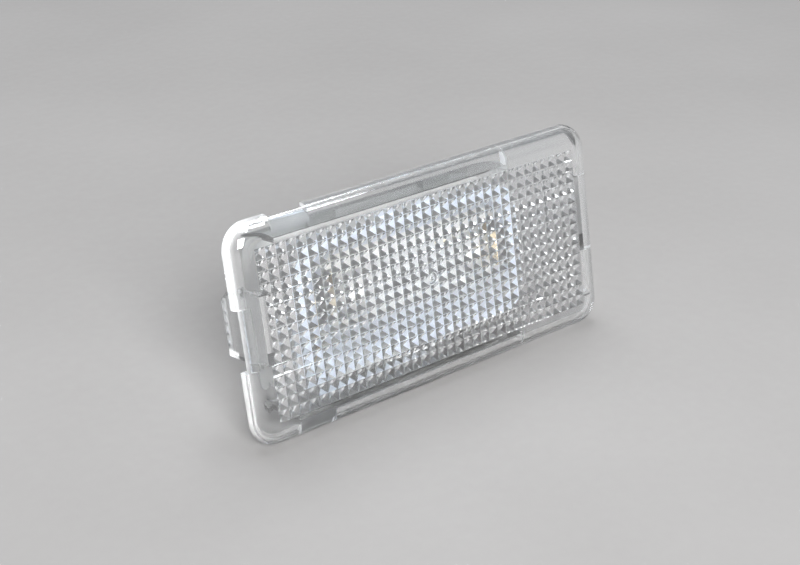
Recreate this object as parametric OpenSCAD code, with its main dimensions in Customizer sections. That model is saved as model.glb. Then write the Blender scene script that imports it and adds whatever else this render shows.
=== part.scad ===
// Car trunk light: a clear one-piece lens and housing with a prism field on its
// inner side, a pressed metal reflector, a festoon bulb between two spring
// contacts, and a moulded rear cover with the socket for the car's wiring.
//
// Every sub-part is drawn in the lamp's own axes (x along the length, y up the
// face, z out of the face, z = 0 on the front surface) and then placed as the
// lamp stands on a table: on the lower edge of its flange and on the lower rear
// edge of its socket, with the face leaning back.

/* [Flange] */
// Length of the front flange
flange_l = 74.6; // [72:0.1:78]
// Height of the front flange
flange_h = 36.8; // [36.4:0.1:38]
// Corner radius of the flange seen from the front
corner_r = 4.5; // [4:0.1:5.5]
// Radius of the rolled front edge
edge_r = 3; // [2.6:0.1:3.1]
// Wall thickness of the clear plate and its skirt
wall = 1.6; // [1.4:0.1:1.8]
// Depth of the flange from its front to the panel face
skirt = 3.2; // [3.15:0.05:3.6]

/* [Prisms] */
// Side of one square pyramid
pitch = 1.9; // [1.8:0.05:1.9]
// Number of pyramids along the length
cols = 35; // [25:2:35]
// Number of pyramids up the face
rows = 15; // [9:2:15]
// Height of one pyramid
pyr_h = 1; // [0.8:0.05:1.1]
// Shift of the prism field from the middle of the flange, to the right
field_dx = 0.4; // [0.2:0.1:0.5]
// Shift of the prism field from the middle of the flange, downwards
field_dy = 0.3; // [0.1:0.1:0.4]

/* [Housing walls] */
// Inner height of the two long walls, from the middle of the prism field
wall_y = 14.3; // [14.3:0.1:14.4]
// Thickness of the long walls
wall_t = 0.9; // [0.8:0.1:0.9]
// Left end of the long walls
wall_x0 = -29.2; // [-29.6:0.1:-28.6]
// Right end of the long walls
wall_x1 = 18.8; // [18:0.1:19.4]
// Depth of the rear edge of the long walls
wall_d = 11; // [10.8:0.1:11.2]
// Place of the small ribs between walls and skirt along the length
rib_x = 18.6; // [17:0.1:18.6]

/* [Snap hooks] */
// Outer face of the left hook's arm, from the middle
arm_x = 33.3; // [33:0.1:33.6]
// Outer face of the right hook's arm, from the middle
arm_x2 = 34.7; // [34.6:0.1:34.7]
// How far a barb stands out of its arm
barb = 1.1; // [0.8:0.1:1.3]
// Depth at which a barb catches behind the panel
catch_d = 5.7; // [5:0.1:6.5]
// Depth of the free end of the hooks
hook_d = 10.7; // [10:0.1:11.5]

/* [Bulb] */
// Overall length of the festoon bulb
bulb_l = 36; // [36:1:36]
// Diameter of the bulb's glass
glass_d = 9.4; // [8.4:0.1:9.4]
// Diameter of the bulb's metal caps
cap_d = 8; // [7.6:0.1:8]
// Depth of the bulb's axis behind the front
bulb_d = 7.9; // [7.8:0.1:8]

/* [Rear cover] */
// Middle of the bulb chamber along the length
chamber_x = -3.2; // [-3.6:0.1:-2.8]
// Depth of the cover plate's front
plate_d = 14.2; // [14.2:0.1:14.6]
// Thickness of the cover plate
plate_t = 1.4; // [1.2:0.1:1.6]
// Middle of the socket along the length
socket_x = 2; // [0:0.5:4]
// Outer width of the socket
socket_w = 15; // [14.6:0.2:16]
// Lower outer face of the socket, from the middle of the lamp
socket_low = 14.43; // [14.3:0.01:14.6]
// Outer height of the socket
socket_h = 9.6; // [9.6:0.1:10]
// Depth of the socket's rim
socket_d = 24; // [23:0.1:25]

/* [Hidden] */
$fn = 48;
hx = flange_l / 2;
hy = flange_h / 2;
// the lamp rests on the flange's lower rear edge and the socket's lower rim
lean = atan((hy - socket_low) / (socket_d - skirt));
up = hy * cos(lean) + skirt * sin(lean);
y_front = -(hy - edge_r) * sin(lean) + edge_r * cos(lean) - edge_r;
y_rear = -(socket_low - socket_h) * sin(lean) + socket_d * cos(lean);
strip = 0.4;      // thickness of the spring contacts
sheet = 0.4;      // thickness of the reflector's metal
rim_z = 4.3;      // depth of the reflector's front rim
rivet_y = -8.8;   // height of the two rivets
blade_x = 3;      // half the distance between the terminals
finger = 17.3;    // inner face of a contact, from the middle of the bulb
field_x = cols * pitch / 2;
field_y = rows * pitch / 2;

// stands the lamp on the table with its box centred on the origin
module placed() {
    translate([0, -(y_front + y_rear) / 2, up]) rotate([90 - lean, 0, 0]) children();
}

// flat rectangle with rounded corners
module round_rect(w, h, r) {
    union() {
        square([w - 2 * r, h], center = true);
        square([w, h - 2 * r], center = true);
        for (sx = [-1, 1]) for (sy = [-1, 1])
            translate([sx * (w / 2 - r), sy * (h / 2 - r)]) circle(r = r);
    }
}

// block from a low corner to a high corner
module box(a, b) { translate(a) cube(b - a); }

// section of the flange from the corner's middle outwards
module rim_section() {
    flat = corner_r - edge_r;
    difference() {
        intersection() {
            union() {
                translate([0, -skirt]) square([flat, skirt]);
                translate([0, -skirt]) square([corner_r, skirt - edge_r]);
                translate([flat, -edge_r]) circle(r = edge_r);
            }
            translate([0, -skirt]) square([corner_r, skirt]);
        }
        translate([-1, -skirt - 1]) square([flat + 1, skirt + 1 - wall]);
        translate([-1, -skirt - 1]) square([corner_r - wall + 1, skirt + 1 - edge_r]);
        translate([flat, -edge_r]) circle(r = edge_r - wall);
    }
}

// clear plate with its rolled edge and skirt
module flange() {
    ix = hx - corner_r;
    iy = hy - corner_r;
    box([-ix, -iy, -wall], [ix, iy, 0]);
    for (s = [0, 180]) rotate([0, 0, s]) {
        translate([-ix, iy, 0]) rotate([90, 0, 90]) linear_extrude(2 * ix) rim_section();
        translate([ix, iy, 0]) rotate([90, 0, 0]) linear_extrude(2 * iy) rim_section();
        translate([ix, iy, 0]) rotate_extrude(angle = 90) rim_section();
        translate([-ix, iy, 0]) rotate([0, 0, 90]) rotate_extrude(angle = 90) rim_section();
    }
}

// row of n triangular ridges, one beside the other, along x
module ridges(n, length) {
    w = n * pitch;
    rotate([90, 0, 0]) translate([0, 0, -length / 2]) linear_extrude(length)
        polygon(concat([[-w / 2, 0.3], [-w / 2, 0]],
            [for (k = [0 : 2 * n - 2]) [-w / 2 + (k + 1) * pitch / 2, k % 2 == 0 ? -pyr_h : 0]],
            [[w / 2, 0], [w / 2, 0.3]]));
}

// square pyramids pointing back: where two sets of crossing ridges meet
module prism_field() translate([field_dx, -field_dy, -wall]) intersection() {
    ridges(cols, 2 * field_y);
    rotate([0, 0, 90]) ridges(rows, 2 * field_x);
}

// one snap arm with its barb, outer side towards +x
module hook(x, t, y0, y1, cut0, cut1) {
    outline = [[y0, -wall + 0.1], [y1, -wall + 0.1], [y1, -hook_d + 1.25 * cut1],
               [y1 - cut1, -hook_d], [y0 + cut0, -hook_d], [y0, -hook_d + 1.25 * cut0]];
    translate([x - t, 0, 0]) rotate([90, 0, 90]) linear_extrude(t) polygon(outline);
    intersection() {
        translate([x, 0, 0]) rotate([90, 0, 90]) linear_extrude(barb) polygon(outline);
        box([x - 1, -20, -hook_d - 1], [x + 2, 20, -catch_d]);
    }
}

// clear lens, flange, walls and hooks, moulded as one piece
module lens_housing() color([0.88, 0.92, 0.95, 0.45]) placed() difference() {
    union() {
        flange();
        prism_field();
        // smooth round gate mark in the middle of the prisms
        translate([field_dx, -field_dy, -wall - pyr_h]) cylinder(r = 1.2, h = pyr_h + 0.3);
        for (s = [-1, 1]) {
            translate([0, -field_dy, 0])
                box([wall_x0, s > 0 ? wall_y : -wall_y - wall_t, -wall_d],
                    [wall_x1, s > 0 ? wall_y + wall_t : -wall_y, -wall + 0.1]);
            // small rib between the wall and the skirt
            box([rib_x - 0.2, s > 0 ? wall_y : -hy + 1, -skirt + 0.2],
                [rib_x + 0.2, s > 0 ? hy - 1 : -wall_y - field_dy, -wall + 0.1]);
        }
        mirror([1, 0, 0]) hook(arm_x, 1.3, -4.9, 6.6, 0, 2);
        hook(arm_x2, 1, -4.6, 8.9, 1.2, 1.2);
        box([33.8, -13.3, -skirt + 0.2], [hx - 1, -12.5, -wall + 0.1]);
    }
    // relief slots through the skirt beside the hooks and the wall lugs
    for (s = [-1, 1])
        box([wall_x0, s > 0 ? hy - 3 : -hy - 1, -skirt - 1],
            [wall_x0 + 7, s > 0 ? hy + 1 : -hy + 3, -wall]);
    box([-hx - 1, -5.2, -skirt - 1], [-hx + 2.6, 5.1, -wall]);
    box([hx - 2.6, -4.8, -skirt - 1], [hx + 1, 8.9, -wall]);
}

// pressed sheet-metal tray with a flat rim, drafted walls and open ends
module reflector() color([0.72, 0.77, 0.83]) placed() translate([chamber_x, 0, 0]) {
    difference() {
        union() {
            translate([0, 0, -rim_z - sheet]) linear_extrude(sheet) round_rect(46.4, 23.4, 5.2);
            hull() {
                translate([0, 0, -rim_z - sheet]) linear_extrude(0.1, $fn = 32) round_rect(41.4, 18.6, 4.4, $fn = 32);
                translate([0, 0, -13.4]) linear_extrude(0.1, $fn = 32) round_rect(38, 13.2, 3.4, $fn = 32);
            }
            // two locating tabs bent back outside the cover's walls
            for (x = [-4, 4]) for (s = [-1, 1]) {
                box([x - 2, s > 0 ? 11 : -12.2, -rim_z - sheet], [x + 2, s > 0 ? 12.2 : -11, -rim_z]);
                box([x - 2, s > 0 ? 11.8 : -12.2, -8], [x + 2, s > 0 ? 12.2 : -11.8, -rim_z]);
            }
        }
        hull() {
            translate([0, 0, -rim_z]) linear_extrude(0.1) round_rect(40.6, 17.8, 4, $fn = 32);
            translate([0, 0, -13]) linear_extrude(0.1) round_rect(37.2, 12.4, 3, $fn = 32);
        }
        // openings at both ends for the spring contacts
        for (s = [-1, 1])
            box([s > 0 ? 16.3 : -21.2, -3.8, -15], [s > 0 ? 21.2 : -16.3, 3.8, -5.2]);
    }
}

// moulded tray that closes the back, with the socket behind it
module rear_cover() color([0.62, 0.62, 0.61]) placed() difference() {
    low = -socket_low;
    union() {
        translate([chamber_x, 0, -plate_d]) linear_extrude(plate_d - rim_z - sheet) round_rect(47, 23.4, 5.4);
        translate([chamber_x, -0.4, -plate_d - plate_t]) linear_extrude(plate_t) round_rect(47, 28.4, 3);
        translate([socket_x, low + socket_h / 2, -socket_d])
            linear_extrude(socket_d - plate_d - 0.2) round_rect(socket_w, socket_h, 1.2);
        // pads that centre the cover between the clear walls
        for (x = [-12, 12]) for (s = [-1, 1])
            box([chamber_x + x - 2.8, s > 0 ? 11.5 : 0.1 - wall_y - field_dy, -10.6],
                [chamber_x + x + 2.8, s > 0 ? wall_y - field_dy - 0.1 : -11.5, -8.8]);
    }
    translate([chamber_x, 0, -plate_d]) linear_extrude(plate_d) round_rect(44.6, 21, 4.2);
    translate([socket_x, low + socket_h / 2, -socket_d - 1])
        linear_extrude(socket_d + 1 - plate_d - plate_t) round_rect(socket_w - 2.4, socket_h - 2.4, 0.6);
    // keyway in the socket's upper wall
    box([socket_x - 1, low + socket_h - 1.3, -socket_d - 1], [socket_x + 1, low + socket_h - 0.6, -plate_d - plate_t - 2]);
    // holes for the rivets and slots that take the heat of the bulb away
    for (s = [-1, 1]) translate([rivet_x(s), rivet_y, -plate_d - plate_t - 1]) cylinder(r = 1.2, h = plate_t + 2);
    for (x = [-14, -9, 10, 15])
        box([chamber_x + x - 0.75, 2, -plate_d - plate_t - 1], [chamber_x + x + 0.75, 9, -plate_d + 1]);
}
function rivet_x(s) = socket_x + s * (blade_x + 1.75);

// bent strip that grips one end of the bulb; s = -1 left, 1 right
module contact_spring(s) color([0.80, 0.66, 0.38]) placed() difference() {
    union() {
        translate([chamber_x, 3, 0]) rotate([90, 0, 0]) linear_extrude(6)
            polygon([[s * finger, -plate_d], [s * (finger + strip), -plate_d],
                     [s * (finger + strip), -6.2], [s * (finger + strip + 0.8), -5.4],
                     [s * (finger + strip + 0.5), -5.1], [s * finger, -6]]);
        // foot on the cover plate and the run to the terminal
        box([s > 0 ? chamber_x + finger - 3.6 : chamber_x - finger - strip, -10.3, -plate_d],
            [s > 0 ? chamber_x + finger + strip : chamber_x - finger + 3.6, 3, -plate_d + strip]);
        box([s > 0 ? rivet_x(s) - 1.8 : chamber_x - finger, -10.3, -plate_d],
            [s > 0 ? chamber_x + finger : rivet_x(s) + 1.8, -7.3, -plate_d + strip]);
    }
    // hole that centres the bulb's pointed cap
    translate([chamber_x + s * (finger - 1), 0, -bulb_d]) rotate([0, s * 90, 0]) cylinder(r = 1.6, h = 3);
    translate([rivet_x(s), rivet_y, -plate_d - 1]) cylinder(r = 1.2, h = 3);
}
module contact_spring_left() contact_spring(-1);
module contact_spring_right() contact_spring(1);

// flat blade in the socket with the foot that the rivet holds
module terminal(s) color([0.78, 0.74, 0.62]) placed() difference() {
    x = socket_x + s * blade_x;
    y = -socket_low + socket_h / 2;
    z = -plate_d - plate_t;
    union() {
        box([s > 0 ? x - 0.4 : x - 3.2, y - 1.4, z - 0.5], [s > 0 ? x + 3.2 : x + 0.4, rivet_y + 1.7, z]);
        // blade with a chamfered tip
        translate([x - 0.4, 0, 0]) rotate([90, 0, 90]) linear_extrude(0.8)
            polygon([[y - 1.4, z - 0.1], [y + 1.4, z - 0.1], [y + 1.4, z - 6.4],
                     [y + 0.8, z - 7], [y - 0.8, z - 7], [y - 1.4, z - 6.4]]);
    }
    translate([rivet_x(s), rivet_y, z - 2]) cylinder(r = 1.2, h = 3);
}
module terminal_live() terminal(-1);
module terminal_ground() terminal(1);

// tubular rivets that join the contacts to the terminals through the cover
module terminal_rivets() color([0.70, 0.70, 0.72]) placed() for (s = [-1, 1])
    translate([rivet_x(s), rivet_y, 0]) difference() {
        union() {
            translate([0, 0, -plate_d - plate_t - 0.5]) cylinder(r = 1.15, h = plate_t + 0.5 + strip);
            translate([0, 0, -plate_d + strip]) cylinder(r = 1.5, h = 0.25);
            translate([0, 0, -plate_d - plate_t - 0.8]) cylinder(r = 1.3, h = 0.3);
        }
        translate([0, 0, -plate_d - plate_t - 2]) cylinder(r = 0.6, h = plate_t + 4);
    }

// turns a profile drawn as [radius, length] about the bulb's axis
module on_bulb_axis() {
    placed() translate([chamber_x, 0, -bulb_d]) rotate([0, 90, 0]) rotate_extrude() children();
}

// glass tube with a neck at each end
module bulb_glass() color([0.9, 0.94, 0.96, 0.35]) on_bulb_axis() {
    r = glass_d / 2;
    n = cap_d / 2 - 0.5;
    polygon([[n - 0.5, -13], [n, -13], [n, -10.4], [r - 0.4, -9.6], [r, -8.8], [r, 8.8],
             [r - 0.4, 9.6], [n, 10.4], [n, 13], [n - 0.5, 13], [n - 0.5, 10.2],
             [r - 0.9, 9.3], [r - 0.5, 8.6], [r - 0.5, -8.6], [r - 0.9, -9.3], [n - 0.5, -10.2]]);
}

// pointed metal cap; s = -1 left, 1 right
module bulb_cap(s) color([0.82, 0.82, 0.80]) on_bulb_axis() {
    r = cap_d / 2;
    e = bulb_l / 2;
    polygon([[r - 0.3, s * 10.7], [r, s * 10.7], [r, s * 14.5], [0.9, s * e], [0.5, s * e],
             [0.5, s * (e - 0.4)], [0.62, s * (e - 0.4)], [r - 0.3, s * 14.3]]);
}
module bulb_cap_left() bulb_cap(-1);
module bulb_cap_right() bulb_cap(1);

// outer shape of the wound filament
module bulb_filament() color([0.45, 0.45, 0.47]) on_bulb_axis() translate([0, -4.5]) square([0.45, 9]);

// straight wire from the filament to the tip of a cap
module bulb_lead(s) color([0.6, 0.6, 0.62]) on_bulb_axis()
    translate([0, s > 0 ? 4.5 : -17.6]) square([0.15, 13.1]);
module bulb_lead_left() bulb_lead(-1);
module bulb_lead_right() bulb_lead(1);

// drop of solder that closes the tip of each cap
module bulb_solder_tips() color([0.66, 0.67, 0.70]) for (s = [-1, 1]) on_bulb_axis()
    polygon([[0, s * 17.6], [0.48, s * 17.6], [0.48, s * 18], [0.85, s * 18], [0.7, s * 18.25], [0.3, s * 18.4], [0, s * 18.4]]);

lens_housing();
reflector();
rear_cover();
contact_spring_left();
contact_spring_right();
terminal_live();
terminal_ground();
terminal_rivets();
bulb_glass();
bulb_cap_left();
bulb_cap_right();
bulb_filament();
bulb_lead_left();
bulb_lead_right();
bulb_solder_tips();
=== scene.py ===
"""Car trunk light standing on its edge. Shapes are drawn in millimetres in the lamp's own
axes (x along the length, y up the face, z out of the face, z = 0 on the front) and are
then placed as the lamp stands, in the row frame, in metres."""
import math
import random

import bmesh
import bpy
from mathutils import Matrix, Vector
from mathutils.geometry import tessellate_polygon


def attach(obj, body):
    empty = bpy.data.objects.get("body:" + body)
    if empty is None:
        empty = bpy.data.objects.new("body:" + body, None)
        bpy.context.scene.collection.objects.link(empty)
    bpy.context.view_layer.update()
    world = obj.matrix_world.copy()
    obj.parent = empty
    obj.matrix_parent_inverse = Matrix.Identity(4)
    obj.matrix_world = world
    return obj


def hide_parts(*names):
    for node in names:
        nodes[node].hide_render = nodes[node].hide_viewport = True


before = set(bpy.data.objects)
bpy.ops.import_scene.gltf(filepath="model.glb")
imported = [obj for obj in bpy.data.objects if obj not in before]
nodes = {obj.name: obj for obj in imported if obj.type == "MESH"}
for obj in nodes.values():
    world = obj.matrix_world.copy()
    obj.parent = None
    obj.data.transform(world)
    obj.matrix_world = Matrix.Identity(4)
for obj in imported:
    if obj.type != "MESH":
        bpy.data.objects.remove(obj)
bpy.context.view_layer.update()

# ---------------------------------------------------------------- dimensions, in mm
HX, HY = 37.3, 18.4          # half size of the flange
CORNER_R, EDGE_R = 4.5, 3.0
WALL, SKIRT = 1.6, 3.2
PITCH, COLS, ROWS = 1.9, 35, 15
PYR_H = 1.0
FX, FY = COLS * PITCH / 2, ROWS * PITCH / 2
DX, DY = 0.4, -0.3            # middle of the prism field
CHX = -3.2                   # middle of the bulb chamber
SOCKET_LOW, SOCKET_D = 14.43, 24.0
PLATE_D, PLATE_T = 14.2, 1.4
RIM_Z, SHEET = 4.3, 0.4
BULB_Z = -7.9

LEAN = math.atan((HY - SOCKET_LOW) / (SOCKET_D - SKIRT))
SN, CS = math.sin(LEAN), math.cos(LEAN)
UP = HY * CS + SKIRT * SN
Y_FRONT = -(HY - EDGE_R) * SN + EDGE_R * CS - EDGE_R
Y_REAR = -(SOCKET_LOW - 9.6) * SN + SOCKET_D * CS
Y0 = -(Y_FRONT + Y_REAR) / 2
PLACE = Matrix.Scale(0.001, 4) @ Matrix((
    (1, 0, 0, 0), (0, SN, -CS, Y0), (0, CS, SN, UP), (0, 0, 0, 1)))
UNPLACE = PLACE.inverted()


# ---------------------------------------------------------------- mesh helpers
def new_object(name, verts, faces):
    mesh = bpy.data.meshes.new(name)
    mesh.from_pydata([tuple(v) for v in verts], [], faces)
    mesh.validate()
    obj = bpy.data.objects.new(name, mesh)
    bpy.context.scene.collection.objects.link(obj)
    bm = bmesh.new()
    bm.from_mesh(mesh)
    bmesh.ops.remove_doubles(bm, verts=bm.verts, dist=1e-5)
    bmesh.ops.recalc_face_normals(bm, faces=bm.faces)
    bm.to_mesh(mesh)
    bm.free()
    return obj


def rr(w, h, r, z, n=8, cx=0.0, cy=0.0):
    """Points of a rounded rectangle, anticlockwise seen from the front."""
    pts = []
    for k, (sx, sy) in enumerate(((1, 1), (-1, 1), (-1, -1), (1, -1))):
        for i in range(n + 1):
            a = math.pi / 2 * (k + i / n)
            pts.append((cx + sx * (w / 2 - r) + r * math.cos(a),
                        cy + sy * (h / 2 - r) + r * math.sin(a), z))
    return pts


def loft(name, rings, cap0=True, cap1=True, wrap=False):
    n = len(rings[0])
    verts = [p for r in rings for p in r]
    faces = []
    m = len(rings)
    for i in range(m if wrap else m - 1):
        for j in range(n):
            a, b = i * n + j, i * n + (j + 1) % n
            c, d = ((i + 1) % m) * n + (j + 1) % n, ((i + 1) % m) * n + j
            faces.append((a, d, c, b))
    if cap0 and not wrap:
        faces.append(tuple(range(n)))
    if cap1 and not wrap:
        faces.append(tuple(reversed(range((m - 1) * n, m * n))))
    return new_object(name, verts, faces)


def block(name, lo, hi, bevel=0.0, segments=2):
    x0, y0, z0 = lo
    x1, y1, z1 = hi
    v = [(x, y, z) for z in (z0, z1) for y in (y0, y1) for x in (x0, x1)]
    f = [(0, 2, 3, 1), (4, 5, 7, 6), (0, 1, 5, 4), (2, 6, 7, 3), (0, 4, 6, 2), (1, 3, 7, 5)]
    obj = new_object(name, v, f)
    if bevel:
        round_edges(obj, bevel, segments)
    return obj


def prism(name, outline, thick, axis, at, bevel=0.0, segments=2):
    """Solid with a flat outline. axis x: outline is (y, z), thickness along x from at.
    axis y: outline is (x, z), thickness along y."""
    verts = []
    for s in (at, at + thick):
        for a, b in outline:
            verts.append((s, a, b) if axis == "x" else (a, s, b))
    n = len(outline)
    faces = [tuple(range(n)), tuple(reversed(range(n, 2 * n)))]
    faces += [(i, (i + 1) % n, n + (i + 1) % n, n + i) for i in range(n)]
    obj = new_object(name, verts, faces)
    if bevel:
        round_edges(obj, bevel, segments)
    return obj


def round_edges(obj, width, segments=2, min_angle=25):
    bm = bmesh.new()
    bm.from_mesh(obj.data)
    edges = [e for e in bm.edges if e.calc_face_angle(0) > math.radians(min_angle)]
    bmesh.ops.bevel(bm, geom=edges, offset=width, segments=segments, profile=0.5,
                    affect="EDGES", clamp_overlap=True)
    bm.to_mesh(obj.data)
    bm.free()


def lathe(name, profile, seg=64, centre=(0, 0, 0), axis="x"):
    """Turns a closed profile of (radius, length) about an axis."""
    cx, cy, cz = centre
    verts, faces = [], []
    n = len(profile)
    for i in range(seg):
        a = 2 * math.pi * i / seg
        for r, l in profile:
            c, s = r * math.cos(a), r * math.sin(a)
            verts.append((cx + l, cy + c, cz + s) if axis == "x" else (cx + c, cy + s, cz + l))
    for i in range(seg):
        k = (i + 1) % seg
        for j in range(n):
            m = (j + 1) % n
            quad = [i * n + j, k * n + j, k * n + m, i * n + m]
            if profile[j][0] < 1e-9:
                quad = [i * n + j, k * n + m, i * n + m]
            if profile[m][0] < 1e-9:
                quad = [i * n + j, k * n + j, i * n + m]
            if profile[j][0] < 1e-9 and profile[m][0] < 1e-9:
                continue
            faces.append(tuple(quad))
    return new_object(name, verts, faces)


def tube(name, path, radius, seg=8, ends=True):
    """Round wire along a path of points."""
    rings = []
    up = Vector((0, 0.02, 1)).normalized()
    for i, p in enumerate(path):
        p = Vector(p)
        t = (Vector(path[min(i + 1, len(path) - 1)]) - Vector(path[max(i - 1, 0)])).normalized()
        side = t.cross(up).normalized()
        up = side.cross(t).normalized()
        rings.append([tuple(p + radius * (math.cos(2 * math.pi * k / seg) * side
                                          + math.sin(2 * math.pi * k / seg) * up))
                      for k in range(seg)])
    return loft(name, rings, ends, ends)


def combine(target, other, how="UNION"):
    mod = target.modifiers.new("join", "BOOLEAN")
    mod.operation = how
    mod.solver = "MANIFOLD"
    mod.object = other
    bpy.context.view_layer.update()
    done = bpy.data.meshes.new_from_object(
        target.evaluated_get(bpy.context.evaluated_depsgraph_get()))
    target.modifiers.clear()
    old = target.data
    target.data = done
    bpy.data.meshes.remove(old)
    gone = other.data
    bpy.data.objects.remove(other)
    bpy.data.meshes.remove(gone)


def tidy(obj, angle=0.5):
    bm = bmesh.new()
    bm.from_mesh(obj.data)
    bmesh.ops.remove_doubles(bm, verts=bm.verts, dist=2e-4)
    bmesh.ops.dissolve_degenerate(bm, edges=bm.edges, dist=2e-4)
    bmesh.ops.dissolve_limit(bm, angle_limit=math.radians(angle), verts=bm.verts, edges=bm.edges)
    bmesh.ops.recalc_face_normals(bm, faces=bm.faces)
    bm.to_mesh(obj.data)
    bm.free()


def finish_piece(obj, material, replaces=(), smooth=30, bevel=None, weights=None):
    """Rounds the crisp edges, places the piece in the row frame and hands it to the frame."""
    if weights is not None:
        bm = bmesh.new()
        bm.from_mesh(obj.data)
        layer = bm.edges.layers.float.get("bevel_weight_edge") or \
            bm.edges.layers.float.new("bevel_weight_edge")
        for e in bm.edges:
            a, b = e.verts[0].co, e.verts[1].co
            e[layer] = weights(e, (a + b) / 2)
        bm.to_mesh(obj.data)
        bm.free()
    obj.data.transform(PLACE)
    obj.data.update()
    if bevel:
        mod = obj.modifiers.new("edge", "BEVEL")
        mod.width = bevel * 0.001
        mod.segments = 2
        mod.use_clamp_overlap = True
        mod.limit_method = "WEIGHT" if weights is not None else "ANGLE"
        mod.angle_limit = math.radians(40)
        mod.harden_normals = False
        mod.miter_outer = "MITER_ARC"
    shade(obj, smooth)
    obj.data.materials.clear()
    obj.data.materials.append(material)
    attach(obj, "root")
    if replaces:
        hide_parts(*replaces)
    return obj


def shade(obj, angle):
    for p in obj.data.polygons:
        p.use_smooth = True
    obj.data.set_sharp_from_angle(angle=math.radians(angle))
    mod = obj.modifiers.new("normals", "WEIGHTED_NORMAL")
    mod.mode = "FACE_AREA"
    mod.weight = 80
    mod.keep_sharp = True


# ---------------------------------------------------------------- materials
class Nodes:
    def __init__(self, name):
        self.mat = bpy.data.materials.new(name)
        self.mat.use_nodes = True
        self.tree = self.mat.node_tree
        self.bsdf = self.tree.nodes["Principled BSDF"]
        self.coord = self.tree.nodes.new("ShaderNodeTexCoord")

    def add(self, kind, **values):
        n = self.tree.nodes.new(kind)
        for k, v in values.items():
            if k.startswith("in_"):
                n.inputs[k[3:].replace("_", " ")].default_value = v
            else:
                setattr(n, k, v)
        return n

    def link(self, a, b):
        self.tree.links.new(a, b)

    def mapped(self, scale=(1, 1, 1), rotation=(0, 0, 0)):
        m = self.add("ShaderNodeMapping")
        m.inputs["Scale"].default_value = scale
        m.inputs["Rotation"].default_value = rotation
        self.link(self.coord.outputs["Object"], m.inputs["Vector"])
        return m.outputs["Vector"]

    def noise(self, scale, detail=3.0, rough=0.5, vector=None, distortion=0.0):
        n = self.add("ShaderNodeTexNoise")
        n.inputs["Scale"].default_value = scale
        n.inputs["Detail"].default_value = detail
        n.inputs["Roughness"].default_value = rough
        n.inputs["Distortion"].default_value = distortion
        self.link(vector or self.coord.outputs["Object"], n.inputs["Vector"])
        return n.outputs["Fac"]

    def ramp(self, fac, stops):
        r = self.add("ShaderNodeValToRGB")
        els = r.color_ramp.elements
        while len(els) > 1:
            els.remove(els[-1])
        els[0].position, els[0].color = stops[0][0], stops[0][1]
        for pos, col in stops[1:]:
            e = els.new(pos)
            e.color = col
        self.link(fac, r.inputs["Fac"])
        return r.outputs["Color"]

    def span(self, fac, lo, hi, a=0.3, b=0.7):
        m = self.add("ShaderNodeMapRange")
        m.inputs["From Min"].default_value = a
        m.inputs["From Max"].default_value = b
        m.inputs["To Min"].default_value = lo
        m.inputs["To Max"].default_value = hi
        self.link(fac, m.inputs["Value"])
        return m.outputs["Result"]

    def bump(self, height, strength, distance):
        b = self.add("ShaderNodeBump")
        b.inputs["Strength"].default_value = strength
        b.inputs["Distance"].default_value = distance
        self.link(height, b.inputs["Height"])
        self.link(b.outputs["Normal"], self.bsdf.inputs["Normal"])

    def put(self, socket, value):
        if hasattr(value, "is_linked"):
            self.link(value, self.bsdf.inputs[socket])
        else:
            self.bsdf.inputs[socket].default_value = value


def g(v):
    return (v, v, v, 1.0)


def clear_plastic():
    m = Nodes("clear_moulded_plastic")
    haze = m.noise(260.0, 4.0, 0.6)
    m.put("Base Color", m.ramp(m.noise(55.0, 2.0), [(0.3, (0.955, 0.975, 0.99, 1)), (0.7, (0.985, 0.99, 0.99, 1))]))
    # matt frosting and matt slot ends lower the transmission and whiten the plastic; the upper-left rim and the slot
    # ends also carry a painted highlight this way
    matt_and_painted_highlight = m.add("ShaderNodeMath", operation="MAXIMUM")
    m.link(m.add("ShaderNodeAttribute", attribute_name="frost_and_painted_highlight").outputs["Fac"], matt_and_painted_highlight.inputs[0])
    m.link(m.add("ShaderNodeAttribute", attribute_name="cut").outputs["Fac"], matt_and_painted_highlight.inputs[1])
    frost_and_painted_highlight = matt_and_painted_highlight.outputs[0]
    patchy = m.add("ShaderNodeMath", operation="MULTIPLY")
    m.link(frost_and_painted_highlight, patchy.inputs[0])
    m.link(m.span(m.noise(300.0, 4.0, 0.6), 0.6, 0.85, 0.35, 0.65), patchy.inputs[1])
    rough = m.add("ShaderNodeMath", operation="MULTIPLY_ADD")
    m.link(patchy.outputs[0], rough.inputs[0])
    rough.inputs[1].default_value = 0.38
    m.link(m.span(haze, 0.0, 0.06, 0.35, 0.75), rough.inputs[2])
    m.put("Roughness", rough.outputs[0])
    m.put("IOR", 1.585)
    m.put("Transmission Weight", m.span(patchy.outputs[0], 0.98, 0.45, 0.0, 1.0))
    m.bump(m.noise(90.0, 2.0, 0.4), 0.03, 0.0002)
    return m.mat


def sheet_metal():
    m = Nodes("rolled_reflector_metal")
    grain = m.noise(900.0, 4.0, 0.6, m.mapped((1.0, 14.0, 14.0)))
    m.put("Metallic", 0.4)
    # painted reflection and light: the drafted walls and the rim are coloured a cool bluish grey as a painted sky
    # reflection, the bottom a warm white as painted light where the inside looks brightly lit
    depth = m.add("ShaderNodeAttribute", attribute_name="depth").outputs["Fac"]
    cloud = m.add("ShaderNodeMath", operation="MULTIPLY_ADD")
    m.link(m.noise(60.0, 3.0), cloud.inputs[0])
    cloud.inputs[1].default_value = 0.12
    m.link(depth, cloud.inputs[2])
    m.put("Base Color", m.ramp(cloud.outputs[0], [(0.0, (0.62, 0.68, 0.77, 1)), (0.75, (0.77, 0.82, 0.89, 1)), (0.96, (0.97, 0.96, 0.93, 1))]))
    m.put("Roughness", m.span(grain, 0.40, 0.54))
    m.bump(grain, 0.12, 0.0001)
    return m.mat


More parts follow.
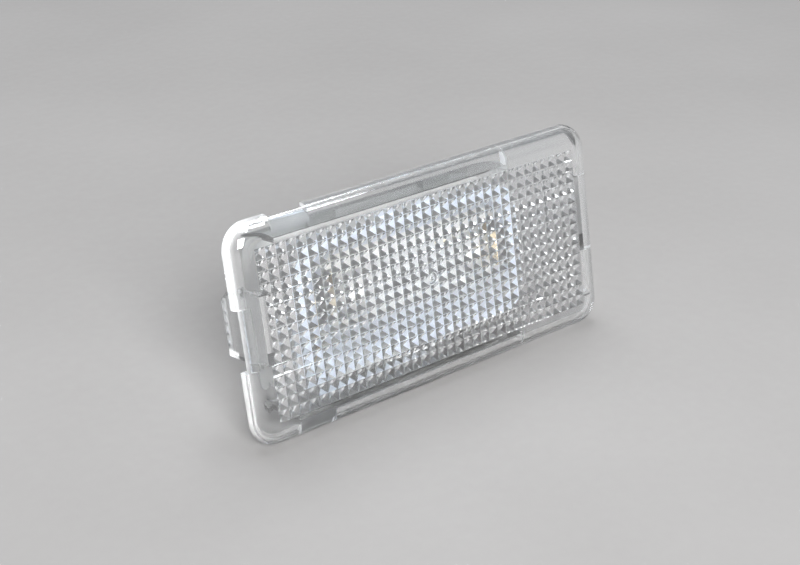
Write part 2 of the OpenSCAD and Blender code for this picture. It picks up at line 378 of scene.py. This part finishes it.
def cover_plastic():
    m = Nodes("moulded_cover_plastic")
    fine = m.noise(1400.0, 3.0, 0.6)
    m.put("Base Color", m.ramp(m.noise(45.0, 3.0), [(0.3, (0.325, 0.325, 0.32, 1)), (0.7, (0.365, 0.365, 0.36, 1))]))
    m.put("Roughness", m.span(m.noise(300.0, 3.0), 0.38, 0.52))
    m.put("Subsurface Weight", 0.05)
    m.put("Subsurface Radius", (0.0012, 0.0011, 0.0010))
    m.put("Subsurface Scale", 1.0)
    m.bump(fine, 0.12, 0.00006)
    return m.mat


def spring_bronze():
    m = Nodes("contact_bronze")
    grain = m.noise(1200.0, 4.0, 0.6, m.mapped((14.0, 1.0, 1.0)))
    m.put("Metallic", 1.0)
    m.put("Base Color", m.ramp(m.noise(160.0, 3.0), [(0.3, (0.74, 0.61, 0.42, 1)), (0.7, (0.84, 0.72, 0.54, 1))]))
    m.put("Roughness", m.span(grain, 0.20, 0.36))
    m.bump(grain, 0.1, 0.00005)
    return m.mat


def tinned():
    m = Nodes("tinned_metal")
    m.put("Metallic", 1.0)
    m.put("Base Color", m.ramp(m.noise(300.0, 4.0), [(0.3, (0.66, 0.66, 0.64, 1)), (0.7, (0.82, 0.81, 0.78, 1))]))
    m.put("Roughness", m.span(m.noise(700.0, 4.0), 0.18, 0.38))
    m.bump(m.noise(1500.0, 3.0), 0.08, 0.00005)
    return m.mat


def cap_metal():
    m = Nodes("nickelled_cap")
    lines = m.noise(1500.0, 3.0, 0.6, m.mapped((12.0, 1.0, 1.0)))
    m.put("Metallic", 1.0)
    m.put("Base Color", m.ramp(m.noise(250.0, 3.0), [(0.3, (0.74, 0.74, 0.71, 1)), (0.7, (0.86, 0.85, 0.82, 1))]))
    m.put("Roughness", m.span(lines, 0.34, 0.50))
    m.bump(lines, 0.08, 0.00004)
    return m.mat


def solder():
    m = Nodes("solder")
    m.put("Metallic", 1.0)
    m.put("Base Color", m.ramp(m.noise(900.0, 4.0), [(0.3, (0.52, 0.53, 0.55, 1)), (0.7, (0.72, 0.72, 0.73, 1))]))
    m.put("Roughness", m.span(m.noise(1500.0, 4.0), 0.25, 0.45))
    m.bump(m.noise(1200.0, 2.0), 0.3, 0.0001)
    return m.mat


def bulb_glass_material():
    m = Nodes("bulb_glass")
    m.put("Base Color", m.ramp(m.noise(90.0, 2.0), [(0.3, (0.97, 0.98, 0.98, 1)), (0.7, (1.0, 1.0, 1.0, 1))]))
    m.put("Roughness", m.span(m.noise(200.0, 2.0), 0.02, 0.06))
    m.put("IOR", 1.5)
    m.put("Alpha", m.span(m.noise(120.0, 2.0), 0.12, 0.16))
    return m.mat


def tungsten():
    m = Nodes("tungsten_wire")
    m.put("Metallic", 1.0)
    m.put("Base Color", m.ramp(m.noise(2500.0, 3.0), [(0.3, (0.22, 0.22, 0.23, 1)), (0.7, (0.38, 0.38, 0.39, 1))]))
    m.put("Roughness", m.span(m.noise(3000.0, 3.0), 0.3, 0.5))
    return m.mat


def floor_material():
    m = Nodes("pale_floor")
    m.put("Base Color", m.ramp(m.noise(12.0, 5.0), [(0.3, (0.148, 0.145, 0.143, 1)), (0.7, (0.162, 0.159, 0.157, 1))]))
    m.put("Roughness", m.span(m.noise(400.0, 3.0), 0.8, 0.95))
    m.put("Specular IOR Level", 0.2)
    m.bump(m.noise(1500.0, 3.0), 0.04, 0.0001)
    return m.mat


CLEAR, METAL, COVER = clear_plastic(), sheet_metal(), cover_plastic()
BRONZE, TIN, CAP, SOLDER = spring_bronze(), tinned(), cap_metal(), solder()
GLASS, WIRE = bulb_glass_material(), tungsten()


# ---------------------------------------------------------------- clear housing
def flange_and_prisms():
    """Plate, rolled rim, skirt and the field of pyramids, as one closed surface."""
    def ring(off, z):
        return rr(2 * (HX - off), 2 * (HY - off), CORNER_R - off, z, 14)
    rings = []
    for i in range(19):                                   # outer roll
        a = math.pi / 2 * i / 18
        rings.append(ring(EDGE_R * (1 - math.sin(a)), -EDGE_R * (1 - math.cos(a))))
    f = 0.18                                              # rear lip of the skirt
    for i in range(5):
        a = math.pi / 2 * i / 4
        rings.append(ring(f * (1 - math.cos(a)), -SKIRT + f - f * math.sin(a)))
    rings[-5] = ring(0, -SKIRT + f)
    for i in range(5):
        a = math.pi / 2 * i / 4
        rings.append(ring(WALL - f * (1 - math.sin(a)), -SKIRT + f * (1 - math.cos(a))))
    q = EDGE_R - WALL
    for i in range(11):                                   # inner roll
        a = math.pi / 2 * i / 10
        rings.append(ring(WALL + q * (1 - math.cos(a)), -EDGE_R + q * math.sin(a)))
    n = len(rings[0])
    verts = [p for r in rings for p in r]
    faces = [tuple(range(n))]
    for i in range(len(rings) - 1):
        for j in range(n):
            a, b = i * n + j, i * n + (j + 1) % n
            faces.append((a, a + n, b + n, b))
    outer = [(len(rings) - 1) * n + j for j in range(n)]
    # pyramids, with a narrow flat line between neighbours
    gap = 0.07
    zb, zt = -WALL, -WALL - PYR_H
    index = {}

    def vert(x, y, z):
        key = (round(x, 5), round(y, 5), round(z, 5))
        if key not in index:
            index[key] = len(verts)
            verts.append((x + DX, y + DY, z))
        return index[key]
    xs = [-FX] + [c for k in range(1, COLS) for c in (-FX + k * PITCH - gap / 2, -FX + k * PITCH + gap / 2)] + [FX]
    ys = [-FY] + [c for k in range(1, ROWS) for c in (-FY + k * PITCH - gap / 2, -FY + k * PITCH + gap / 2)] + [FY]
    for i in range(len(xs) - 1):
        for j in range(len(ys) - 1):
            c = [vert(xs[i], ys[j], zb), vert(xs[i + 1], ys[j], zb),
                 vert(xs[i + 1], ys[j + 1], zb), vert(xs[i], ys[j + 1], zb)]
            if i % 2 == 0 and j % 2 == 0:
                t = vert((xs[i] + xs[i + 1]) / 2, (ys[j] + ys[j + 1]) / 2, zt)
                for k in range(4):
                    faces.append((c[k], t, c[(k + 1) % 4]))
            else:
                faces.append(tuple(reversed(c)))
    edge = [vert(x, ys[0], zb) for x in xs] + [vert(xs[-1], y, zb) for y in ys[1:]] + \
        [vert(x, ys[-1], zb) for x in reversed(xs[:-1])] + [vert(xs[0], y, zb) for y in reversed(ys[1:-1])]
    loops = [[Vector(verts[k]) for k in outer], [Vector(verts[k]) for k in edge]]
    lookup = outer + edge
    for tri in tessellate_polygon(loops):
        faces.append(tuple(lookup[k] for k in tri))
    return new_object("clear_housing", verts, faces)


def hook_outline(y0, y1, cut0, cut1, depth=10.7):
    pts = [(y0, -WALL + 0.3), (y1, -WALL + 0.3), (y1, -depth + 1.25 * cut1)]
    if cut1:
        pts.append((y1 - cut1, -depth))
    else:
        pts.append((y1, -depth))
    if cut0:
        pts += [(y0 + cut0, -depth), (y0, -depth + 1.25 * cut0)]
    else:
        pts.append((y0, -depth))
    clean = []
    for p in pts:
        if not clean or (abs(p[0] - clean[-1][0]) + abs(p[1] - clean[-1][1])) > 1e-6:
            clean.append(p)
    return clean


def add_hook(body, side, arm, thick, y0, y1, cut0, cut1):
    x_in, x_out = side * (arm - thick), side * arm
    combine(body, prism("arm", hook_outline(y0, y1, cut0, cut1), x_out - x_in, "x", x_in))
    # barb with a lead-in slope and a catching face
    outline = hook_outline(y0, y1, cut0, cut1)
    barb = prism("barb", outline, side * 1.2, "x", side * (arm - 0.1))
    keep = block("keep", (-60, -20, -12), (60, 20, -5.7))
    combine(barb, keep, "INTERSECT")
    combine(body, barb)


def build_housing():
    body = flange_and_prisms()
    combine(body, lathe("gate", [(0, -WALL + 0.3), (1.2, -WALL + 0.3), (1.2, -WALL - PYR_H + 0.12),
                                 (1.16, -WALL - PYR_H + 0.03), (1.08, -WALL - PYR_H), (0.98, -WALL - PYR_H + 0.02),
                                 (0.8, -WALL - PYR_H + 0.16), (0.4, -WALL - PYR_H + 0.34), (0, -WALL - PYR_H + 0.4)],
                        48, (DX, DY, 0), "z"))
    x0, x1, d = -29.2, 18.8, -11.0
    for s in (-1, 1):
        lo, hi = sorted((s * 14.3, s * 15.2))
        combine(body, block("wall", (x0, lo + DY, d), (x1, hi + DY, -WALL + 0.3)))
        lo, hi = sorted((s * 14.6, s * (HY - 0.9)))
        combine(body, block("rib", (18.4, lo, -SKIRT + 0.2), (18.8, hi, -WALL + 0.3)))
    add_hook(body, -1, 33.3, 1.3, -4.9, 6.6, 0, 2)
    add_hook(body, 1, 34.7, 1.0, -4.6, 8.9, 1.2, 1.2)
    combine(body, block("rib", (33.8, -13.3, -SKIRT + 0.2), (HX - 1, -12.5, -WALL + 0.3)))
    # relief slots in the skirt
    for s in (-1, 1):
        lo, hi = sorted((s * (HY - 3), s * (HY + 1)))
        combine(body, block("slot", (x0, lo, -6), (x0 + 7, hi, -WALL)), "DIFFERENCE")
    combine(body, block("slot", (-HX - 1, -5.2, -6), (-HX + 2.6, 5.1, -WALL)), "DIFFERENCE")
    combine(body, block("slot", (HX - 2.6, -4.8, -6), (HX + 1, 8.9, -WALL)), "DIFFERENCE")
    tidy(body)

    def weights(e, mid):
        if len(e.link_faces) != 2 or e.calc_face_angle(0) < math.radians(40):
            return 0.0
        inside = abs(mid.x - DX) < FX + 0.05 and abs(mid.y - DY) < FY + 0.05 and mid.z > -WALL - PYR_H - 0.05
        return 0.0 if inside else 1.0
    # the skirt and the outer part of the roll get a light frosting, and on top of it a painted highlight that whitens
    # them most of all at the upper left, where the light falls
    layer = body.data.attributes.new("frost_and_painted_highlight", "FLOAT", "POINT")
    for v, out in zip(body.data.vertices, layer.data):
        x, y, z = v.co
        qx, qy = abs(x) - (HX - CORNER_R), abs(y) - (HY - CORNER_R)
        off = CORNER_R - math.hypot(max(qx, 0), max(qy, 0)) - min(max(qx, qy), 0)
        near = max(0.0, min(1.0, (0.75 - off) / 0.6))
        left = max(0.0, min(1.0, (-x - HX + 9) / 7))
        high = max(0.0, min(1.0, (y + 9) / 12))
        out.value = near * (0.12 + 0.68 * left * (0.25 + 0.75 * high))
    # the cut ends of the slots are matt, and their whitening is also a painted highlight for the bright lines along
    # the slot ends
    layer = body.data.attributes.new("cut", "FLOAT", "FACE")
    for face, out in zip(body.data.polygons, layer.data):
        c, n = face.center, face.normal
        side = abs(n.y) > 0.9 and abs(c.x) > 34.6 and any(abs(c.y - y) < 0.02 for y in (8.9, -4.8, 5.1, -5.2, -12.5))
        ends = abs(n.x) > 0.9 and abs(c.y) > 15.3 and any(abs(c.x - x) < 0.02 for x in (-29.2, -22.2, 18.4, 18.8))
        out.value = 1.0 if side or ends else 0.0
    return finish_piece(body, CLEAR, ("lens_housing",), smooth=24, bevel=0.14, weights=weights)


# ---------------------------------------------------------------- reflector
def build_reflector():
    def at(w, h, r, z):
        return rr(w, h, r, z, 12, CHX)
    front = [(46.3, 23.3, 5.15, -RIM_Z)]
    # roll from the rim into the wall, slope down, roll into the floor
    mouth, base = (40.6, 17.8, 4.0, -RIM_Z - 0.0), (37.2, 12.4, 3.0, -13.0)
    path = []
    steps = 8
    for i in range(steps + 1):
        a = math.radians(80) * i / steps
        path.append((0.9 * (1 - math.sin(a)), -0.9 * (1 - math.cos(a))))
    for off, dz in path:
        front.append((mouth[0] + 2 * off, mouth[1] + 2 * off, mouth[2] + off, -RIM_Z + dz))
    for i in range(1, 7):
        t = i / 7
        front.append((mouth[0] + (base[0] - mouth[0]) * t, mouth[1] + (base[1] - mouth[1]) * t,
                      mouth[2] + (base[2] - mouth[2]) * t, -5.1 + (-11.9 + 5.1) * t))
    for i in range(steps + 1):
        a = math.pi / 2 * i / steps
        off = 1.1 * (1 - math.cos(a))
        front.append((base[0] - 2 * off, base[1] - 2 * off, base[2] - off, -11.9 - 1.1 * math.sin(a)))
    # sheet thickness: normal offset in the profile plane
    back = []
    prof = [(-w / 2, z) for w, h, r, z in front]
    for i, (w, h, r, z) in enumerate(front):
        a, b = prof[max(i - 1, 0)], prof[min(i + 1, len(prof) - 1)]
        tx, tz = b[0] - a[0], b[1] - a[1]
        ln = math.hypot(tx, tz)
        nx, nz = tz / ln * SHEET, -tx / ln * SHEET
        back.append((w - 2 * nx, h - 2 * nx, r - nx, z + nz))
    back[0] = (46.3, 23.3, 5.15, -RIM_Z - SHEET)
    rings = [at(*p) for p in reversed(front)] + [at(46.4, 23.4, 5.2, -RIM_Z - 0.08), at(46.4, 23.4, 5.2, -RIM_Z - SHEET + 0.08)] \
        + [at(*p) for p in back]
    obj = loft("reflector_sheet", rings)
    for s in (-1, 1):
        lo, hi = sorted((s * 16.3, s * 21.2))
        cut = prism("end_hole", [(-3.8, -16), (3.8, -16), (3.8, -5.9), (3.1, -5.2), (-3.1, -5.2), (-3.8, -5.9)],
                    hi - lo, "x", CHX + lo)
        combine(obj, cut, "DIFFERENCE")
    for x in (-4, 4):
        for s in (-1, 1):
            outline = [(s * 11.2, -RIM_Z), (s * 11.95, -RIM_Z), (s * 12.2, -RIM_Z - 0.25), (s * 12.2, -7.7),
                       (s * 12.05, -8.0), (s * 11.8, -8.0), (s * 11.8, -RIM_Z - SHEET), (s * 11.2, -RIM_Z - SHEET)]
            combine(obj, prism("tab", outline, 4, "x", CHX + x - 2))
    tidy(obj)
    # the depth from the rim drives the painted reflection and painted light in the reflector's colour
    layer = obj.data.attributes.new("depth", "FLOAT", "POINT")
    for v, out in zip(obj.data.vertices, layer.data):
        out.value = max(0.0, min(1.0, (-RIM_Z - v.co.z) / 8.7))
    return finish_piece(obj, METAL, ("reflector",), smooth=35, bevel=0.06)


# ---------------------------------------------------------------- rear cover
def build_cover():
    low = -SOCKET_LOW
    obj = loft("rear_cover_moulding", [rr(47, 23.4, 5.4, -RIM_Z - SHEET, 10, CHX), rr(47, 23.4, 5.4, -PLATE_D - 0.5, 10, CHX)])
    combine(obj, loft("plate", [rr(47, 28.4, 3, -PLATE_D, 8, CHX, -0.4), rr(47, 28.4, 3, -PLATE_D - PLATE_T, 8, CHX, -0.4)]))
    combine(obj, loft("socket", [rr(15, 9.6, 1.2, -PLATE_D - 0.3, 6, 2, low + 4.8), rr(15, 9.6, 1.2, -SOCKET_D, 6, 2, low + 4.8)]))
    for x in (-12, 12):
        for s in (-1, 1):
            a = CHX + x
            t = s * 14.2 + DY
            outline = [(s * 11.5, -8.8), (t - s * 0.6, -8.8), (t, -9.5), (t, -10.6), (s * 11.5, -10.6)]
            combine(obj, prism("pad", outline, 5.6, "x", a - 2.8))
    combine(obj, loft("hollow", [rr(44.6, 21, 4.2, 0, 10, CHX), rr(44.6, 21, 4.2, -PLATE_D, 10, CHX)]), "DIFFERENCE")
    combine(obj, loft("cavity", [rr(12.6, 7.2, 0.6, -PLATE_D - PLATE_T, 5, 2, low + 4.8),
                                 rr(12.6, 7.2, 0.6, -SOCKET_D - 1, 5, 2, low + 4.8)]), "DIFFERENCE")
    combine(obj, block("key", (1, low + 8.3, -SOCKET_D - 1), (3, low + 9.0, -PLATE_D - PLATE_T - 2)), "DIFFERENCE")
    for s in (-1, 1):
        combine(obj, lathe("rivet_hole", [(0, -17), (1.2, -17), (1.2, -13), (0, -13)], 40,
                           (2 + s * 4.75, -8.8, 0), "z"), "DIFFERENCE")
    for x in (-14, -9, 10, 15):
        combine(obj, block("vent", (CHX + x - 0.75, 2, -17), (CHX + x + 0.75, 9, -13.2)), "DIFFERENCE")
    tidy(obj)
    return finish_piece(obj, COVER, ("rear_cover",), smooth=35, bevel=0.22)


# ---------------------------------------------------------------- bulb
def build_bulb():
    r, n = 4.7, 3.5
    def arc(cx, cy, rad, a0, a1, k):
        return [(cx + rad * math.cos(math.radians(a0 + (a1 - a0) * i / k)),
                 cy + rad * math.sin(math.radians(a0 + (a1 - a0) * i / k))) for i in range(k + 1)]
    outer = [(r, 0.0), (r, 7.9)] + arc(r - 1.2, 7.9, 1.2, 0, 55, 8)[1:] + \
        [(3.62, 9.75), (n, 10.3), (n, 13.0)]
    inner = [(n - 0.5, 13.0), (n - 0.5, 10.2), (3.3, 9.5)] + \
        list(reversed(arc(r - 1.3, 7.8, 0.8, 0, 55, 8))) + [(r - 0.5, 0.0)]
    half = outer + inner
    full = half[:-1] + [(half[-1][0], half[-1][1])] + \
        [(a, -b) for a, b in reversed(half[1:-1])]
    glass = lathe("festoon_glass", full, 96, (CHX, 0, BULB_Z))
    finish_piece(glass, GLASS, ("bulb_glass",), smooth=40)
    for s, name in ((-1, "left"), (1, "right")):
        e, cr = 18.0, 4.0
        prof = [(cr - 0.3, s * 10.7), (cr - 0.15, s * 10.66), (cr, s * 10.8), (cr, s * 14.2), (cr - 0.08, s * 14.6),
                (cr - 0.4, s * 14.95), (1.15, s * (e - 0.12)), (0.9, s * e), (0.5, s * e), (0.5, s * (e - 0.4)),
                (0.62, s * (e - 0.4)), (cr - 0.3, s * 14.3)]
        cap = lathe("end_cap_" + name, prof, 64, (CHX, 0, BULB_Z))
        finish_piece(cap, CAP, ("bulb_cap_" + name,), smooth=30)
    tips = None
    for s in (-1, 1):
        prof = [(0, s * 17.6), (0.48, s * 17.6), (0.48, s * 18), (0.86, s * 18.02), (0.84, s * 18.14),
                (0.66, s * 18.28), (0.36, s * 18.38), (0, s * 18.4)]
        tip = lathe("solder_drop", prof, 32, (CHX, 0, BULB_Z))
        if tips is None:
            tips = tip
        else:
            combine(tips, tip)
    tips.name = "cap_solder_drops"
    finish_piece(tips, SOLDER, ("bulb_solder_tips",), smooth=35)
    # wound filament, sagging a little between its leads
    path = []
    turns, per = 26, 14
    for i in range(turns * per + 1):
        t = i / (turns * per)
        a = 2 * math.pi * turns * t
        x = -4.5 + 9 * t
        sag = -0.18 * (1 - (2 * t - 1) ** 2)
        fade = min(1, 10 * t, 10 * (1 - t))
        path.append((CHX + x, sag + 0.36 * fade * math.cos(a), BULB_Z + 0.36 * fade * math.sin(a)))
    coil = tube("filament_coil", path, 0.07, 6)
    finish_piece(coil, WIRE, ("bulb_filament",), smooth=60)
    for s, name in ((-1, "left"), (1, "right")):
        pts = []
        for i in range(25):
            t = i / 24
            x = 4.42 + (17.7 - 4.42) * t
            bow = 0.22 * math.sin(math.pi * min(1, t * 2)) * (1 if t < 0.5 else 0)
            pts.append((CHX + s * x, bow, BULB_Z + 0.12 * math.sin(math.pi * t)))
        lead = tube("lead_wire_" + name, pts, 0.15, 10)
        finish_piece(lead, TIN, ("bulb_lead_" + name,), smooth=60)


def build_rivets():
    both = None
    for s in (-1, 1):
        z0, z1 = -PLATE_D + 0.4, -PLATE_D - PLATE_T - 0.5
        prof = [(0.6, z0 + 0.12), (0.72, z0 + 0.25), (1.2, z0 + 0.25), (1.45, z0 + 0.16), (1.5, z0), (1.15, z0),
                (1.15, z1), (1.3, z1), (1.26, z1 - 0.2), (1.05, z1 - 0.3), (0.72, z1 - 0.3), (0.6, z1 - 0.15)]
        one = lathe("rivet", prof, 40, (2 + s * 4.75, -8.8, 0), "z")
        if both is None:
            both = one
        else:
            combine(both, one)
    both.name = "rivets"
    finish_piece(both, TIN, ("terminal_rivets",), smooth=35)


def dress_node(name, material, bevel):
    """A CAD node that stays: merged, with its edges broken, and its own material."""
    obj = nodes[name]
    weld = obj.modifiers.new("weld", "WELD")
    weld.merge_threshold = 1e-6
    mod = obj.modifiers.new("edge", "BEVEL")
    mod.width = bevel * 0.001
    mod.segments = 2
    mod.limit_method = "ANGLE"
    mod.angle_limit = math.radians(35)
    obj.data.materials.clear()
    obj.data.materials.append(material)


build_housing()
build_reflector()
build_cover()
build_bulb()
build_rivets()
for name in ("contact_spring_left", "contact_spring_right"):
    dress_node(name, BRONZE, 0.08)
for name in ("terminal_live", "terminal_ground"):
    dress_node(name, TIN, 0.1)


# ---------------------------------------------------------------- floor, light, camera
floor = new_object("floor", [(-4, -4, 0), (4, -4, 0), (4, 4, 0), (-4, 4, 0)], [(0, 1, 2, 3)])
floor.data.materials.append(floor_material())


def area(name, size, energy, at, to=(0, 0, 0.015), colour=(1, 1, 1)):
    light = bpy.data.lights.new(name, "AREA")
    light.shape = "RECTANGLE"
    light.size, light.size_y = size
    light.energy = energy
    light.color = colour
    obj = bpy.data.objects.new(name, light)
    obj.location = at
    obj.rotation_mode = "QUATERNION"
    obj.rotation_quaternion = (Vector(to) - Vector(at)).to_track_quat("-Z", "Y")
    bpy.context.scene.collection.objects.link(obj)
    return obj


area("overhead", (0.7, 0.7), 17, (0.15, 0.30, 0.95), colour=(0.96, 0.98, 1.0))
area("front", (0.6, 0.6), 46, (-0.40, -0.85, 0.58))
# soft tent: bright above, dim towards the horizon
world = bpy.data.worlds.new("studio")
world.use_nodes = True
wt = world.node_tree
where = wt.nodes.new("ShaderNodeTexCoord")
split = wt.nodes.new("ShaderNodeSeparateXYZ")
wt.links.new(where.outputs["Generated"], split.inputs[0])
sky = wt.nodes.new("ShaderNodeValToRGB")
sky.color_ramp.elements[0].position, sky.color_ramp.elements[0].color = 0.16, (0.45, 0.455, 0.465, 1)
sky.color_ramp.elements[1].position, sky.color_ramp.elements[1].color = 0.62, (0.92, 0.96, 1.0, 1)
wt.links.new(split.outputs["Z"], sky.inputs["Fac"])
wt.links.new(sky.outputs["Color"], wt.nodes["Background"].inputs["Color"])
wt.nodes["Background"].inputs["Strength"].default_value = 0.22
bpy.context.scene.world = world

cam_data = bpy.data.cameras.new("camera")
cam_data.lens, cam_data.sensor_width, cam_data.sensor_fit = 68.18, 36.0, "HORIZONTAL"
cam_data.clip_start, cam_data.clip_end = 0.01, 20
cam = bpy.data.objects.new("camera", cam_data)
bpy.context.scene.collection.objects.link(cam)


def turned(v):
    return Vector((v[0], v[1] * SN - v[2] * CS, v[1] * CS + v[2] * SN))


right = turned((0.78190122, -0.1170392, 0.61231716))
down = turned((-0.27583136, -0.94579282, 0.17144389))
ahead = turned((0.55905952, -0.30294846, -0.77179964))
rot = Matrix((right, -down, -ahead)).transposed()
cam.matrix_world = Matrix.Translation(PLACE @ Vector((-145.24 + DX, 76.30 + DY, 189.96))) @ rot.to_4x4()
bpy.context.scene.camera = cam

view = bpy.context.scene.view_settings
view.view_transform = "Standard"
view.look = "None"
view.exposure = 0.0
